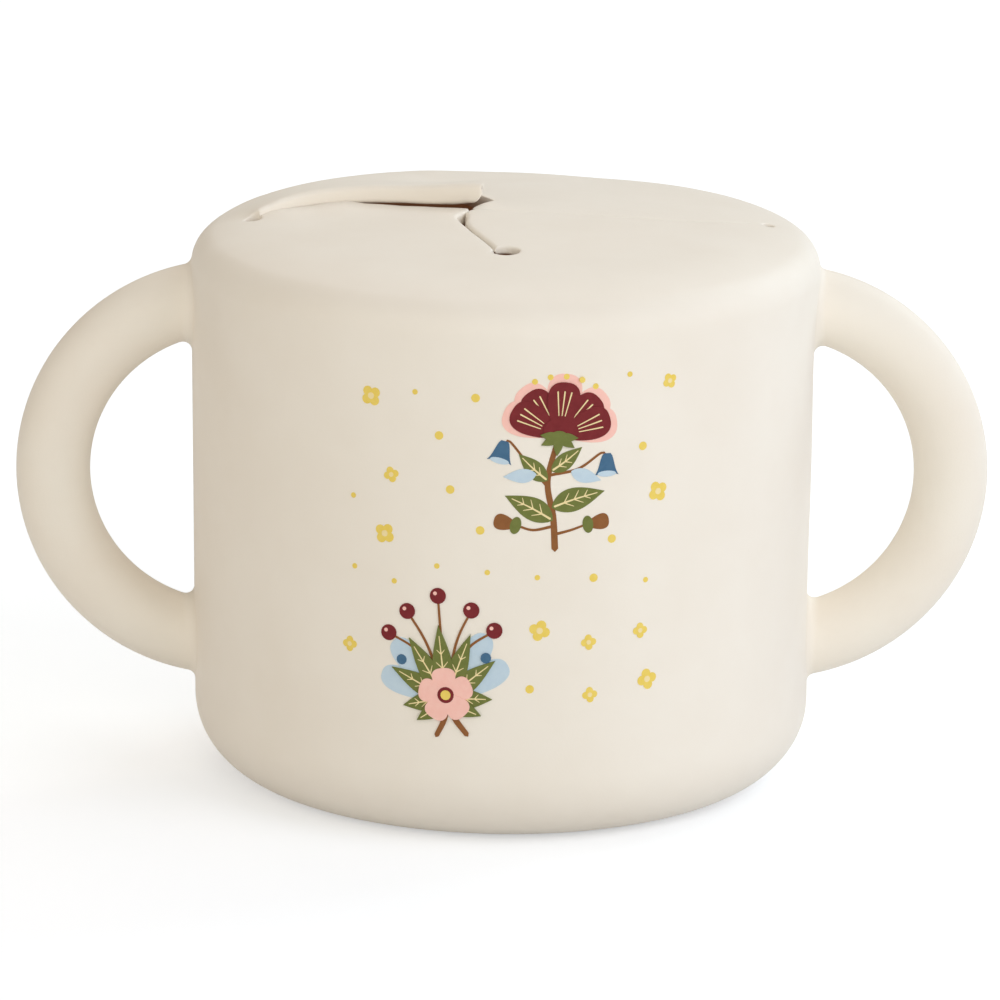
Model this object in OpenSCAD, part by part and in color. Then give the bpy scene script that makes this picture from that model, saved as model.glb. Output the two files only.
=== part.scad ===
// Toddler snack container: a soft round cup with a slit lid and two ring handles.
// Millimetres. The origin is the centre of the base, +Z is up, the front is -Y,
// and the handles point along -X and +X.

/* [Cup] */
// Outer diameter at the shoulder, where the cup is widest
cup_d = 90; // [80:1:110]
// How much smaller the outer radius is just above the base fillet
wall_taper = 0.9; // [0:0.1:4]
// Height of the lid's top face above the base
cup_h = 80.4; // [76:0.1:110]
// Thickness of the side wall
wall_t = 2.6; // [1.6:0.1:3.6]
// Thickness of the floor
floor_t = 3; // [1.6:0.1:6]
// Radius of the outer edge of the base
base_fillet = 11.2; // [6:0.1:16]
// Radius of the outer edge of the shoulder
shoulder_fillet = 6; // [4.5:0.1:9]

/* [Lid] */
// Thickness of the soft lid and its flaps
lid_t = 2.2; // [1.4:0.1:3]
// Width of the slits between the flaps
slit_gap = 0.3; // [0.2:0.05:0.8]
// Width of each slit where it runs into its end hole
slit_end_gap = 2.4; // [0.3:0.1:3]
// Length over which each slit widens towards its end hole
slit_flare = 16; // [4:0.5:16]
// Diameter of the round hole that ends each slit
end_hole_d = 3.8; // [2:0.1:5]
// From the cup's outer face to the centre of the two side holes
side_hole_inset = 8.6; // [8:0.1:14]
// From the cup's outer face to the centre of the front hole
front_hole_inset = 23.4; // [18:0.1:26]
// From the cup's outer face to the centre of the back hole
back_hole_inset = 22; // [18:0.1:25]
// Direction of the left hole, in degrees from +X
left_hole_angle = 174; // [168:0.5:180]
// Direction of the right hole, in degrees from +X
right_hole_angle = 4; // [0:0.5:10]
// Direction of the front hole, in degrees from +X
front_hole_angle = 267.6; // [262:0.1:274]
// Direction of the back hole, in degrees from +X
back_hole_angle = 110.4; // [105:0.1:115]
// Where the four slits meet, left of the cup's axis
meet_left = 6; // [2:0.1:8]
// Where the four slits meet, behind the cup's axis
meet_back = 0.8; // [-2:0.1:4]

/* [Flap hinges] */
// From the line through a flap's two end holes to its hinge axis
hinge_inset = 2; // [1.6:0.1:3]
// Gap around the round hinge edge of each flap
hinge_gap = 0.3; // [0.15:0.05:0.5]
// Angle that the back left flap stands up at rest
back_left_lift = 12; // [0:1:20]

/* [Handles] */
// Diameter of the round grip
grip_d = 10.6; // [8:0.1:14]
// Radius of the grip's centre line
handle_r = 25.25; // [20:0.05:27]
// Height of the middle of the handles above the base
handle_z = 43.9; // [40:0.1:46]
// How far the middle of each handle's ring lies inside the cup's outer face
handle_inset = 5.8; // [3:0.1:9]

/* [Hidden] */
$fn = 96;

cream = [0.93, 0.90, 0.84];
cream_lid = [0.90, 0.87, 0.80];
cream_flap = [0.95, 0.92, 0.87];

cup_r = cup_d / 2;
base_r = cup_r - wall_taper;
split_z = cup_h - shoulder_fillet;
lid_mid_z = cup_h - lid_t / 2;
flat_r = cup_r - shoulder_fillet;
slit_steps = 12;
past = 1;

function polar(r, a) = [r * cos(a), r * sin(a)];
function bezier(p, t) =
    pow(1 - t, 3) * p[0] + 3 * t * pow(1 - t, 2) * p[1]
    + 3 * t * t * (1 - t) * p[2] + pow(t, 3) * p[3];
function bezier_points(p) = [for (i = [0:slit_steps]) bezier(p, i / slit_steps)];
function reversed(points) = [for (i = [len(points) - 1:-1:0]) points[i]];
function unit(v) = v / norm(v);
function left_of(v) = [-v[1], v[0]];

// The slits: each runs from the meeting point to a round end hole, as one swirl.
// Its two bend points are given as steps from its ends, in millimetres.
meet = [-meet_left, meet_back];
left_hole = polar(cup_r - side_hole_inset, left_hole_angle);
right_hole = polar(cup_r - side_hole_inset, right_hole_angle);
front_hole = polar(cup_r - front_hole_inset, front_hole_angle);
back_hole = polar(cup_r - back_hole_inset, back_hole_angle);

left_slit = bezier_points([meet, meet + [-9.6, 7], left_hole + [7.2, 5.5], left_hole]);
front_slit = bezier_points([meet, meet + [-3, -5.8], front_hole + [-1.7, 4.7], front_hole]);
right_slit = bezier_points([meet, meet + [14, -3.8], right_hole + [-11.4, -4], right_hole]);
back_slit = bezier_points([meet, meet + [3.5, 3.7], back_hole + [9.5, -6.5], back_hole]);

// The hinge axis of a flap, moved in from the line through its two end holes.
function hinge_dir(a, b) = unit(b - a);
function hinge_in(a, b) = left_of(hinge_dir(a, b));
function hinge_angle(a, b) = atan2(b[1] - a[1], b[0] - a[0]);

// A thin strip along a slit's centre line. It widens near the end hole, which is the
// last point, so that the corners of the flaps can swing past each other.
function slit_width(points, i) =
    let (from_hole = norm(points[i] - points[len(points) - 1]))
    slit_gap + (slit_end_gap - slit_gap) * max(0, 1 - from_hole / slit_flare);
function side_step(points, i) =
    left_of(unit(points[min(i + 1, len(points) - 1)] - points[max(i - 1, 0)]))
    * slit_width(points, i) / 2;
module slit_strip(points) {
    left = [for (i = [0:len(points) - 1]) points[i] + side_step(points, i)];
    right = [for (i = [0:len(points) - 1]) points[i] - side_step(points, i)];
    polygon(concat(left, reversed(right)));
}

module slits_2d() {
    for (points = [left_slit, front_slit, right_slit, back_slit]) slit_strip(points);
    for (hole = [left_hole, front_hole, right_hole, back_hole])
        translate(hole) circle(d = end_hole_d);
    translate(meet) circle(d = 2 * slit_gap);
}

// The whole sector of the lid between two slits, from hole a round to hole b.
module sector_2d(slit_a, slit_b) {
    polygon(concat(slit_a, reversed(slit_b)));
}

// Everything on the flap's side of the hinge axis between holes a and b.
module beyond_hinge_2d(a, b) {
    reach = 2 * cup_r;
    translate(a + hinge_in(a, b) * hinge_inset)
        rotate(hinge_angle(a, b))
            translate([-reach, 0]) square([2 * reach, reach]);
}

module lid_slab() {
    translate([0, 0, cup_h - lid_t]) linear_extrude(lid_t) children();
}

module through_lid() {
    translate([0, 0, cup_h - shoulder_fillet]) linear_extrude(shoulder_fillet + past) children();
}

// A rod along the hinge axis, from the far side of hole a to the far side of hole b.
module hinge_rod(a, b, r) {
    axis_start = a + hinge_in(a, b) * hinge_inset;
    translate([axis_start[0], axis_start[1], lid_mid_z])
        rotate([0, 90, hinge_angle(a, b)])
            translate([0, 0, -end_hole_d / 2])
                cylinder(r = r, h = norm(b - a) + end_hole_d);
}

// A flap: flat beyond its hinge axis, with a half-round edge on the axis.
module flap(a, b, slit_a, slit_b) {
    intersection() {
        lid_slab() difference() {
            sector_2d(slit_a, slit_b);
            slits_2d();
        }
        union() {
            through_lid() beyond_hinge_2d(a, b);
            hinge_rod(a, b, lid_t / 2);
        }
    }
}

// The room that a flap and its hinge edge need in the ring.
module flap_room(a, b, slit_a, slit_b) {
    through_lid() intersection() {
        sector_2d(slit_a, slit_b);
        beyond_hinge_2d(a, b);
    }
    intersection() {
        hinge_rod(a, b, lid_t / 2 + hinge_gap);
        through_lid() sector_2d(slit_a, slit_b);
    }
}

// The cup's filled half section, drawn in by inset, from floor_z up to top_z.
module cup_section(inset, floor_z, top_z) {
    fillet = base_fillet - inset;
    low_r = base_r - inset;
    high_r = cup_r - inset;
    polygon([[0, floor_z], [low_r - fillet, floor_z], [low_r, floor_z + fillet],
             [high_r, split_z], [high_r, top_z], [0, top_z]]);
    translate([low_r - fillet, floor_z + fillet]) circle(r = fillet);
}

// The shoulder's and lid's half section, before the slits are cut.
module lid_section() {
    difference() {
        union() {
            translate([0, split_z]) square([flat_r, shoulder_fillet]);
            intersection() {
                translate([flat_r, split_z]) circle(r = shoulder_fillet);
                translate([flat_r, split_z]) square(shoulder_fillet);
            }
        }
        translate([-past, split_z - past])
            square([flat_r + past, shoulder_fillet - lid_t + past]);
        translate([flat_r, split_z]) circle(r = shoulder_fillet - wall_t);
    }
}

module cup_body() {
    color(cream) rotate_extrude() difference() {
        cup_section(0, 0, split_z);
        cup_section(wall_t, floor_t, split_z + past);
    }
}

module lid_ring() {
    color(cream_lid) difference() {
        rotate_extrude() lid_section();
        through_lid() slits_2d();
        flap_room(left_hole, front_hole, left_slit, front_slit);
        flap_room(front_hole, right_hole, front_slit, right_slit);
        flap_room(right_hole, back_hole, right_slit, back_slit);
        flap_room(back_hole, left_hole, back_slit, left_slit);
    }
}

module flap_front_left() {
    color(cream_flap) flap(left_hole, front_hole, left_slit, front_slit);
}

module flap_front_right() {
    color(cream_flap) flap(front_hole, right_hole, front_slit, right_slit);
}

module flap_back_right() {
    color(cream_flap) flap(right_hole, back_hole, right_slit, back_slit);
}

// Stands up a little at rest, turned about its own hinge axis.
module flap_back_left() {
    axis_start = back_hole + hinge_in(back_hole, left_hole) * hinge_inset;
    turn = hinge_angle(back_hole, left_hole);
    color(cream_flap)
        translate([axis_start[0], axis_start[1], lid_mid_z])
            rotate([0, 0, turn]) rotate([back_left_lift, 0, 0]) rotate([0, 0, -turn])
                translate([-axis_start[0], -axis_start[1], -lid_mid_z])
                    flap(back_hole, left_hole, back_slit, left_slit);
}

// One ring handle, ended on the cup's outer face; side is -1 or 1.
module handle(side) {
    difference() {
        translate([side * (cup_r - handle_inset), 0, handle_z])
            rotate([90, 0, 0])
                rotate_extrude() translate([handle_r, 0]) circle(d = grip_d);
        rotate_extrude() cup_section(0, 0, cup_h);
    }
}

module handle_left() {
    color(cream) handle(-1);
}

module handle_right() {
    color(cream) handle(1);
}

cup_body();
lid_ring();
flap_front_left();
flap_front_right();
flap_back_left();
flap_back_right();
handle_left();
handle_right();
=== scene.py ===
import math

import bpy
import numpy as np
from mathutils import Matrix, Vector
from mathutils.geometry import delaunay_2d_cdt


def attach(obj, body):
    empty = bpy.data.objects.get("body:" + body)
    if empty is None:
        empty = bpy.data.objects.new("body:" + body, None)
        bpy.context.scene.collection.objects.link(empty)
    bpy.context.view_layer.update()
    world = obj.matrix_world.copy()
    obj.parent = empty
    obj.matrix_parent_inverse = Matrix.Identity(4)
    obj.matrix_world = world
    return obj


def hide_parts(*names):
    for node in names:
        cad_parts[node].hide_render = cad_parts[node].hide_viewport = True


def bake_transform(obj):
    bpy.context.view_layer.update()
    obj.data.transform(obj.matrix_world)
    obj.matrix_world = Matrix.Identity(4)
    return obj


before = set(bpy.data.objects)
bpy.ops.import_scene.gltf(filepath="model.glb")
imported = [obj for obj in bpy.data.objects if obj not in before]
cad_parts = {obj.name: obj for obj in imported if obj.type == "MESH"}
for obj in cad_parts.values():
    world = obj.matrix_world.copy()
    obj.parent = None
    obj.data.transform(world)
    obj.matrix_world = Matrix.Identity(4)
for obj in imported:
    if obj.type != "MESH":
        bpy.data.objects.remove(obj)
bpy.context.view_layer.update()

# Every length below is in millimetres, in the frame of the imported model, until a mesh is made.
MM = 0.001


def add_object(name, data):
    obj = bpy.data.objects.new(name, data)
    bpy.context.scene.collection.objects.link(obj)
    return obj


# Camera

def make_camera():
    """A long lens a little above the cup, turned slightly to its left and hardly rolled."""
    distance, elevation, roll, yaw = 1069.3, 14.934, 0.916, 1.84
    aim = (-0.44, 0.0, 39.393)
    e, r, w = (math.radians(v) for v in (elevation, roll, yaw))
    data = bpy.data.cameras.new("camera")
    data.lens = 267.69
    data.sensor_width = 36
    data.clip_start = 0.01
    data.clip_end = 20
    cam = add_object("camera", data)
    tilt = Matrix.Rotation(math.pi / 2 - e, 4, "X") @ Matrix.Rotation(r, 4, "Z")
    back = Matrix.Translation((0, 0, distance * MM))
    cam.matrix_world = (Matrix.Rotation(-w, 4, "Z") @ Matrix.Translation(Vector(aim) * MM)
                        @ tilt @ back)
    bpy.context.scene.camera = cam


# Materials

def set_inputs(tree, node, inputs):
    """Gives each named input of a node a value, or links it to another node's output."""
    for name, value in inputs.items():
        if isinstance(value, bpy.types.NodeSocket):
            tree.links.new(value, node.inputs[name])
        else:
            node.inputs[name].default_value = value


def add_node(tree, kind, inputs, output=0, **settings):
    """A new shader node of this kind; gives one of its outputs."""
    node = tree.nodes.new("ShaderNode" + kind)
    for name, value in settings.items():
        setattr(node, name, value)
    set_inputs(tree, node, inputs)
    return node.outputs[output]


def new_material(name):
    mat = bpy.data.materials.new(name)
    mat.use_nodes = True
    return mat, mat.node_tree


def noise(tree, scale, detail=2, rough=0.5):
    at = add_node(tree, "TexCoord", {}, "Object")
    return add_node(tree, "TexNoise", {
        "Vector": at, "Scale": scale, "Detail": detail, "Roughness": rough}, "Fac")


# The values between which nearly all of a noise lies.
NOISE_LOW, NOISE_HIGH = 0.3, 0.7


def remap(tree, value, low, high):
    """The value of a noise, stretched to run from low to high."""
    return add_node(tree, "MapRange", {
        "Value": value, "From Min": NOISE_LOW, "From Max": NOISE_HIGH,
        "To Min": low, "To Max": high}, "Result")


def bump(tree, scale, strength, distance, under=None):
    """The surface's normal with the bumps of a noise, laid over another normal if one is given."""
    inputs = {"Height": noise(tree, scale), "Strength": strength, "Distance": distance}
    if under is not None:
        inputs["Normal"] = under
    return add_node(tree, "Bump", inputs, "Normal")


def linear(rgb):
    """An sRGB colour of 0 to 255 as linear values, with its alpha."""
    out = []
    for v in rgb:
        v = v / 255
        out.append(v / 12.92 if v <= 0.04045 else ((v + 0.055) / 1.055) ** 2.4)
    return (*out, 1)


def two_tone(tree, value, first, second):
    """A colour that drifts between two sRGB tones as a noise does."""
    return add_node(tree, "Mix", {
        "Factor": remap(tree, value, 0, 1), "A": linear(first), "B": linear(second)},
        "Result", data_type="RGBA")


# How fine each noise is, in waves per metre.
CLOUD, SWELL_WAVES, SATIN, PORES = 70, 95, 420, 3600
MOTTLE, INK_SATIN, FILM = 900, 2600, 4200
# Painted glow: the colour of a faint light that the inside gives off of its own, in place of the
# light that soaks through the thin wall and warms the inside.
PAINTED_GLOW_COLOUR = (1.0, 0.5, 0.25)
SILICONE_IOR = 1.41
INK_ROUGHNESS = (0.48, 0.6)


def silicone(name, light, dark, roughness=(0.56, 0.66), painted_glow=0.0):
    """Matte moulded silicone: cloudy tone, fine satin grain and a soft swell of the surface, with
    an optional faint painted glow of its own.
    """
    mat, tree = new_material(name)
    fine = bump(tree, PORES, strength=0.22, distance=0.00005)
    set_inputs(tree, tree.nodes["Principled BSDF"], {
        "Base Color": two_tone(tree, noise(tree, CLOUD, 3), light, dark),
        "Roughness": remap(tree, noise(tree, SATIN, 4), *roughness),
        "IOR": SILICONE_IOR, "Sheen Weight": 0.08, "Sheen Roughness": 0.5,
        "Emission Color": (*PAINTED_GLOW_COLOUR, 1), "Emission Strength": painted_glow,
        "Normal": bump(tree, SWELL_WAVES, strength=0.25, distance=0.00035, under=fine)})
    return mat


def ink(name, colour, worn):
    """Printed ink: even colour with a faint mottle where it lies thinner."""
    mat, tree = new_material(name)
    set_inputs(tree, tree.nodes["Principled BSDF"], {
        "Base Color": two_tone(tree, noise(tree, MOTTLE, 4, 0.6), colour, worn),
        "Roughness": remap(tree, noise(tree, INK_SATIN), *INK_ROUGHNESS),
        "Specular IOR Level": 0.2,
        "Normal": bump(tree, FILM, strength=0.15, distance=0.00002)})
    return mat


# Meshes

# An edge that turns by more than this many degrees stays sharp.
SHARP_ANGLE = 38


def make_object(name, points, faces, materials, slots=None):
    """A smooth-shaded mesh object; points in mm, slots is one material index per face."""
    mesh = bpy.data.meshes.new(name)
    mesh.from_pydata([tuple(v) for v in (np.asarray(points, float) * MM)], [],
                     [tuple(int(i) for i in f) for f in faces])
    for mat in materials:
        mesh.materials.append(mat)
    if slots is not None:
        mesh.polygons.foreach_set("material_index", np.asarray(slots, np.int32))
    mesh.polygons.foreach_set("use_smooth", [True] * len(mesh.polygons))
    mesh.validate()
    mesh.update()
    mesh.set_sharp_from_angle(angle=math.radians(SHARP_ANGLE))
    return add_object(name, mesh)


def smoothstep(x):
    x = np.clip(x, 0, 1)
    return x * x * (3 - 2 * x)


def lookup(table, x):
    """The value at x in a table of pairs, straight between its rows."""
    return np.interp(x, *zip(*table))


def lengths(vectors):
    return np.linalg.norm(vectors, axis=-1)


def unit(vectors):
    return vectors / lengths(vectors)[..., None]


def to_left(vectors):
    """Flat vectors turned a quarter to the left."""
    return np.stack([-vectors[..., 1], vectors[..., 0]], -1)


def rays(angles):
    """Flat unit vectors in these directions."""
    return np.stack([np.cos(angles), np.sin(angles)], -1)


def along_line(line):
    """How far along a line each of its points lies."""
    return np.concatenate([[0], np.cumsum(lengths(np.diff(line, axis=0)))])


def points_at(line, at):
    """The points that lie this far along a line."""
    along = along_line(line)
    return np.stack([np.interp(at, along, line[:, k]) for k in (0, 1)], 1)


def nearest(points, line):
    """For each point, which point of the line is closest to it."""
    return np.argmin(((points[:, None, :] - line[None]) ** 2).sum(2), 1)


def inside(points, loops):
    """True for each point that lies inside the closed loops, by the even-odd rule."""
    x, y = points[:, 0][:, None], points[:, 1][:, None]
    hits = np.zeros(len(points), int)
    for loop in loops:
        a, b = loop, np.roll(loop, -1, 0)
        crosses = (a[:, 1] > y) != (b[:, 1] > y)
        with np.errstate(divide="ignore", invalid="ignore"):
            at = a[:, 0] + (y - a[:, 1]) * (b[:, 0] - a[:, 0]) / (b[:, 1] - a[:, 1])
        hits += (crosses & (x < at)).sum(1)
    return hits % 2 == 1


def line_distance(points, line):
    """Distance from each point to an open line of points."""
    a, b = line[:-1], line[1:]
    step = b - a
    length = np.maximum((step ** 2).sum(1), 1e-12)
    t = ((points[:, None, :] - a) * step).sum(2) / length
    near = a + np.clip(t, 0, 1)[:, :, None] * step
    return np.sqrt(((points[:, None, :] - near) ** 2).sum(2)).min(1)


def loops_distance(points, loops):
    return np.min([line_distance(points, np.vstack([loop, loop[:1]])) for loop in loops], 0)


def loop_edges(count):
    """Each point of a closed loop with the one after it."""
    return [(k, (k + 1) % count) for k in range(count)]


def triangulate(points, edges, loops):
    """Delaunay triangles of the region inside the loops, and where each given point went."""
    out = delaunay_2d_cdt([Vector(p) for p in points], edges, [], 0, 1e-7)
    verts = np.array([tuple(v) for v in out[0]])
    place = {k: new for new, old in enumerate(out[3]) for k in old}
    tris = np.array([f for f in out[2] if len(f) == 3])
    tris = tris[inside(verts[tris].mean(1), loops)]
    a, b, c = (verts[tris[:, k]] for k in range(3))
    area = (b - a)[:, 0] * (c - a)[:, 1] - (b - a)[:, 1] * (c - a)[:, 0]
    tris[area < 0] = tris[area < 0][:, ::-1]
    return verts, tris[abs(area) > 1e-9], place


def both_sides(tris, n):
    """The triangles, and the same ones turned over on the points that come n later."""
    return [tuple(t) for t in tris] + [tuple(n + t[::-1]) for t in tris]


def side_walls(tris, n, rim=()):
    """Faces between the two sides along every open edge that isn't on the rim."""
    edges = {(int(t[i]), int(t[j])) for t in tris for i, j in loop_edges(3)}
    return [(j, i, n + i, n + j) for i, j in edges
            if (j, i) not in edges and not (i in rim and j in rim)]


# How far apart the rows of a staggered grid lie, for points one step apart.
ROW_SPACING = 0.866


def inner_grid(loops, step, clear):
    """A staggered grid of points inside the loops that keeps clear of their lines."""
    low, high = np.vstack(loops).min(0), np.vstack(loops).max(0)
    cols = np.arange(low[0], high[0], step)
    rows = np.arange(low[1], high[1], step * ROW_SPACING)
    grid = np.vstack([np.stack([cols + k % 2 * step / 2, np.full(len(cols), y)], 1)
                      for k, y in enumerate(rows)])
    grid = grid[inside(grid, loops)]
    return grid[loops_distance(grid, loops) > clear]


# The lid's plan

CUP_R = 45.0
LID_T = 2.2


def polar(r, angle):
    return r * rays(math.radians(angle))


MEET = np.array([-5.1, 1.2])
LEFT_AT, BACK_AT = 176.16, 110.4
HOLES = {"left": polar(CUP_R - 8.72, LEFT_AT), "right": polar(CUP_R - 7.6, 3.4),
         "front": polar(CUP_R - 23.6, 267.6), "back": polar(CUP_R - 22, BACK_AT)}
HOLE_R = {"left": 1.2, "right": 0.8, "front": 1.95, "back": 1.85}
# Where a slit doesn't end in the centre of its hole, the step to its end.
END_STEP = {"front": (-1.3, 0)}
# The two bend points of each slit, as steps from where it starts and from where it ends.
BENDS = {"left": ((-10.5, 6.6), (7.5, 6.84)), "front": ((-4.3, -6.0), (-0.8, 5.2)),
         "right": ((13.1, -4.2), (-11.4, -4)), "back": ((0.6, 2.2), (1.6, -6))}
# The back slit turns sharply on its way; its two halves bend as steps from this point.
ELBOW = np.array([-1.8, 7.0])
ELBOW_BENDS = ((-1.2, -1.2), (-1.3, 3.2))
# How far each slit stands open, along its length in mm from where the four meet.
OPENING = {"left": ((0, 0.08), (15, 0.07), (20, 0.012)),
           "front": ((0, 0.012), (2.0, 0.02), (3.0, 0.6), (4.2, 1.4), (5.8, 1.4), (7.6, 0.75),
                     (10.5, 0.36)),
           "right": ((0, 0.012),), "back": ((0, 0.06),)}
# Radius of the soft edge along each slit and round each hole.
EDGE_R = {"left": 0.3, "front": 0.55, "right": 0.1, "back": 0.15}
BACK_LIP_R = 0.75
# The front lip of the left slit is sharp beyond this distance from where the slits meet.
SHARP_FROM, SHARP_OVER, SHARP_R = 16.0, 4, 0.06
RIM_R = 0.35
# The rows of points across a rounded edge, as shares of its radius.
ROWS = (0.0, 0.075, 0.29, 0.62, 1.0)
SLIT_STEP = 0.5
BEZIER_STEPS = 400


def bezier(p0, p1, p2, p3):
    t = np.linspace(0, 1, BEZIER_STEPS)[:, None]
    return ((1 - t) ** 3 * p0 + 3 * t * (1 - t) ** 2 * p1 + 3 * t * t * (1 - t) * p2
            + t ** 3 * p3)


def slit_line(name):
    """Points along the middle of a slit, and how far along it each one lies."""
    p0, p3 = MEET, HOLES[name] + END_STEP.get(name, (0, 0))
    p1, p2 = MEET + BENDS[name][0], p3 + BENDS[name][1]
    if name == "back":
        fine = np.vstack([bezier(p0, p1, ELBOW + ELBOW_BENDS[0], ELBOW)[:-1],
                          bezier(ELBOW, ELBOW + ELBOW_BENDS[1], p2, p3)])
    else:
        fine = bezier(p0, p1, p2, p3)
    whole = along_line(fine)[-1]
    at = np.linspace(0, whole, int(whole / SLIT_STEP))
    return points_at(fine, at), at


SLITS = {name: slit_line(name) for name in HOLES}
# A slit's edge keeps no point closer than this to the rim of its hole.
SPARE = 0.1


def slit_edge(name, side):
    """One edge of a slit, from the meeting point to the rim of its hole; side 1 is its left."""
    line, along = SLITS[name]
    normal = to_left(unit(np.gradient(line, axis=0)))
    edge = line + side * normal * lookup(OPENING[name], along)[:, None] / 2
    hole, radius = HOLES[name], HOLE_R[name]
    gap = lengths(edge - hole)
    last = int(np.nonzero(gap > radius)[0][-1])
    after = min(last + 1, len(gap) - 1)
    t = (gap[last] - radius) / (gap[last] - gap[after])
    rim = edge[last] + (edge[after] - edge[last]) * t
    rim = hole + unit(rim - hole) * radius
    keep = last + 1 if gap[last] - radius > SPARE else last
    return np.vstack([edge[:keep], rim])


def beyond(edge, reach):
    """The part of a slit's edge that lies farther than reach from where the slits meet."""
    return edge[lengths(edge - MEET) > reach]


ARC_STEP = 0.3


def arc(hole, start, end, turn):
    """Points round a hole from one point on its rim to another; turn is 1 or -1."""
    c, r = HOLES[hole], HOLE_R[hole]
    a0, a1 = (math.atan2(*(p - c)[::-1]) for p in (start, end))
    while (a1 - a0) * turn < 0:
        a1 += 2 * math.pi * turn
    a = np.linspace(a0, a1, max(3, int(abs(a1 - a0) * r / ARC_STEP)))
    return c + r * rays(a)


# The front left seam leaves its front hole beyond the slit's end.
RIM_TURN = {("front", "left"): 28}


def rim_point(hole, other):
    d = HOLES[other] - HOLES[hole]
    angle = math.degrees(math.atan2(d[1], d[0])) + RIM_TURN.get((hole, other), 0)
    return HOLES[hole] + polar(HOLE_R[hole], angle)


SEAM_STEP = 0.8


def seam(path, end_r=RIM_R):
    """Points along a seam, close together where it leaves the rounded edges at its ends."""
    first = np.array(ROWS) * RIM_R
    last = along_line(path)[-1] - np.array(ROWS)[::-1] * end_r
    middle = np.linspace(first[-1], last[0], int((last[0] - first[-1]) / SEAM_STEP) + 2)[1:-1]
    return points_at(path, np.concatenate([first, middle, last]))


def crossing(line, a, b):
    """Where a line of points, walked from its end, first crosses the segment a-b."""
    side = (line - a) @ to_left(b - a)
    for k in range(len(line) - 1, 0, -1):
        if side[k] * side[k - 1] < 0:
            t = side[k] / (side[k] - side[k - 1])
            return line[k] + (line[k - 1] - line[k]) * t, k


# The left slit starts behind the line between the holes of the back left flap, and crosses it
# further in. The flap's seam leaves that line outwards, to meet the slit there squarely.
LEFT_BACK = slit_edge("left", -1)
CROSS, CROSS_AT = crossing(LEFT_BACK, rim_point("left", "back"), rim_point("back", "left"))
# How far before that crossing the seam leaves the line, and how strongly it bends.
SEAM_LEAVES, SEAM_BEND = 7.5, 3.2


def back_left_seam():
    start = rim_point("back", "left")
    run = unit(CROSS - start)
    lip = LEFT_BACK[CROSS_AT + 1] - LEFT_BACK[CROSS_AT - 2]
    outward = -to_left(unit(lip))
    leaves = CROSS - run * SEAM_LEAVES
    return np.vstack([start, bezier(leaves, leaves + run * SEAM_BEND,
                                    CROSS + outward * SEAM_BEND, CROSS)])


# The two holes of each flap, counterclockwise round the lid.
FLAP_HOLES = {"front_left": ("left", "front"), "front_right": ("front", "right"),
              "back_right": ("right", "back"), "back_left": ("back", "left")}
SEAMS = {name: seam(np.array([rim_point(a, b), rim_point(b, a)]))
         for name, (a, b) in FLAP_HOLES.items()}
SEAMS["back_left"] = seam(back_left_seam(), BACK_LIP_R)
# Each flap's edges start this far from where the slits meet.
NEAR_MEET = 0.35
# The raised flap ends in a corner that overhangs its neighbour a little.
TIP_CORNER = np.array([-3.4, 1.9])
TIP_CORNER_R = 0.8
# Its outline leaves the left slit this far from where the slits meet, and joins the back slit
# beyond this y.
TIP_START, TIP_REJOIN = 7.0, 11.0
# Its soft edges are worked out from its own outline within this distance.
TIP_REACH = 12.0
TIP_SIDE_STEP = 0.45


def raised_tip(toward, away):
    """Replaces the meeting point on the raised flap's outline by its own rounded corner."""
    toward = beyond(toward, TIP_START)
    away = away[away[:, 1] > TIP_REJOIN]
    a, b, c = toward[-1], away[0], TIP_CORNER
    ua, ub = unit(a - c), unit(b - c)
    t = np.linspace(0, 1, 7)[:, None]
    bend = ((1 - t) ** 2 * (c + ua * TIP_CORNER_R) + 2 * t * (1 - t) * c
            + t ** 2 * (c + ub * TIP_CORNER_R))
    run = toward[-1] - toward[-3]
    run *= np.linalg.norm(a - bend[0]) / 3 / np.linalg.norm(run)
    lip = bezier(a, a + run, bend[0] + ua * np.linalg.norm(run), bend[0])[::20][1:]
    n = int(np.linalg.norm(b - bend[-1]) / TIP_SIDE_STEP) + 2
    side = bend[-1] + (b - bend[-1]) * np.linspace(0, 1, n)[1:-1, None]
    return toward, np.vstack([lip, bend, side]), away


def flap_loop(name):
    """A flap's outline, counterclockwise from its seam."""
    line = SEAMS[name]
    a, b = FLAP_HOLES[name]
    edge_a = slit_edge(a, 1)
    away = beyond(edge_a, NEAR_MEET)
    if name == "back_left":
        corner = CROSS[None]
        tip = raised_tip(beyond(LEFT_BACK[:CROSS_AT][::-1], NEAR_MEET), away)
    else:
        edge_b = slit_edge(b, -1)
        corner = arc(b, line[-1], edge_b[-1], -1)[:-1]
        tip = (beyond(edge_b[::-1], NEAR_MEET), away)
    return np.vstack([line[:-1], corner, *tip, arc(a, edge_a[-1], line[0], -1)[1:-1]])


def ring_loop():
    """The lid ring's inner outline: round the outside of each hole and along each seam."""
    parts = []
    before = LEFT_BACK[-1]
    for name, (hole, _) in FLAP_HOLES.items():
        line = SEAMS[name]
        parts += [arc(hole, before, line[0], 1)[:-1], line[:-1]]
        before = line[-1]
    return np.vstack([*parts, CROSS[None], LEFT_BACK[CROSS_AT:-1]])


# The lid's heights

SHOULDER_R, SHOULDER_X, SHOULDER_Z = 4.94, 40.06, 74.06
DOME_RISE = 3.05
# Near its rim the lid swells a little above the dome, so that it falls away more steeply there.
BULGE, BULGE_FROM = 0.4, 23.0
# It brings the highest value of x * x * (1 - x) to 1.
BULGE_SCALE = 6.75
# The lid's slope where the shoulder's round edge begins, in degrees.
DOME_TILT = 16.9
RING_R = SHOULDER_X + SHOULDER_R * math.sin(math.radians(DOME_TILT))
RING_Z = SHOULDER_Z + SHOULDER_R * math.cos(math.radians(DOME_TILT))
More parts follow.
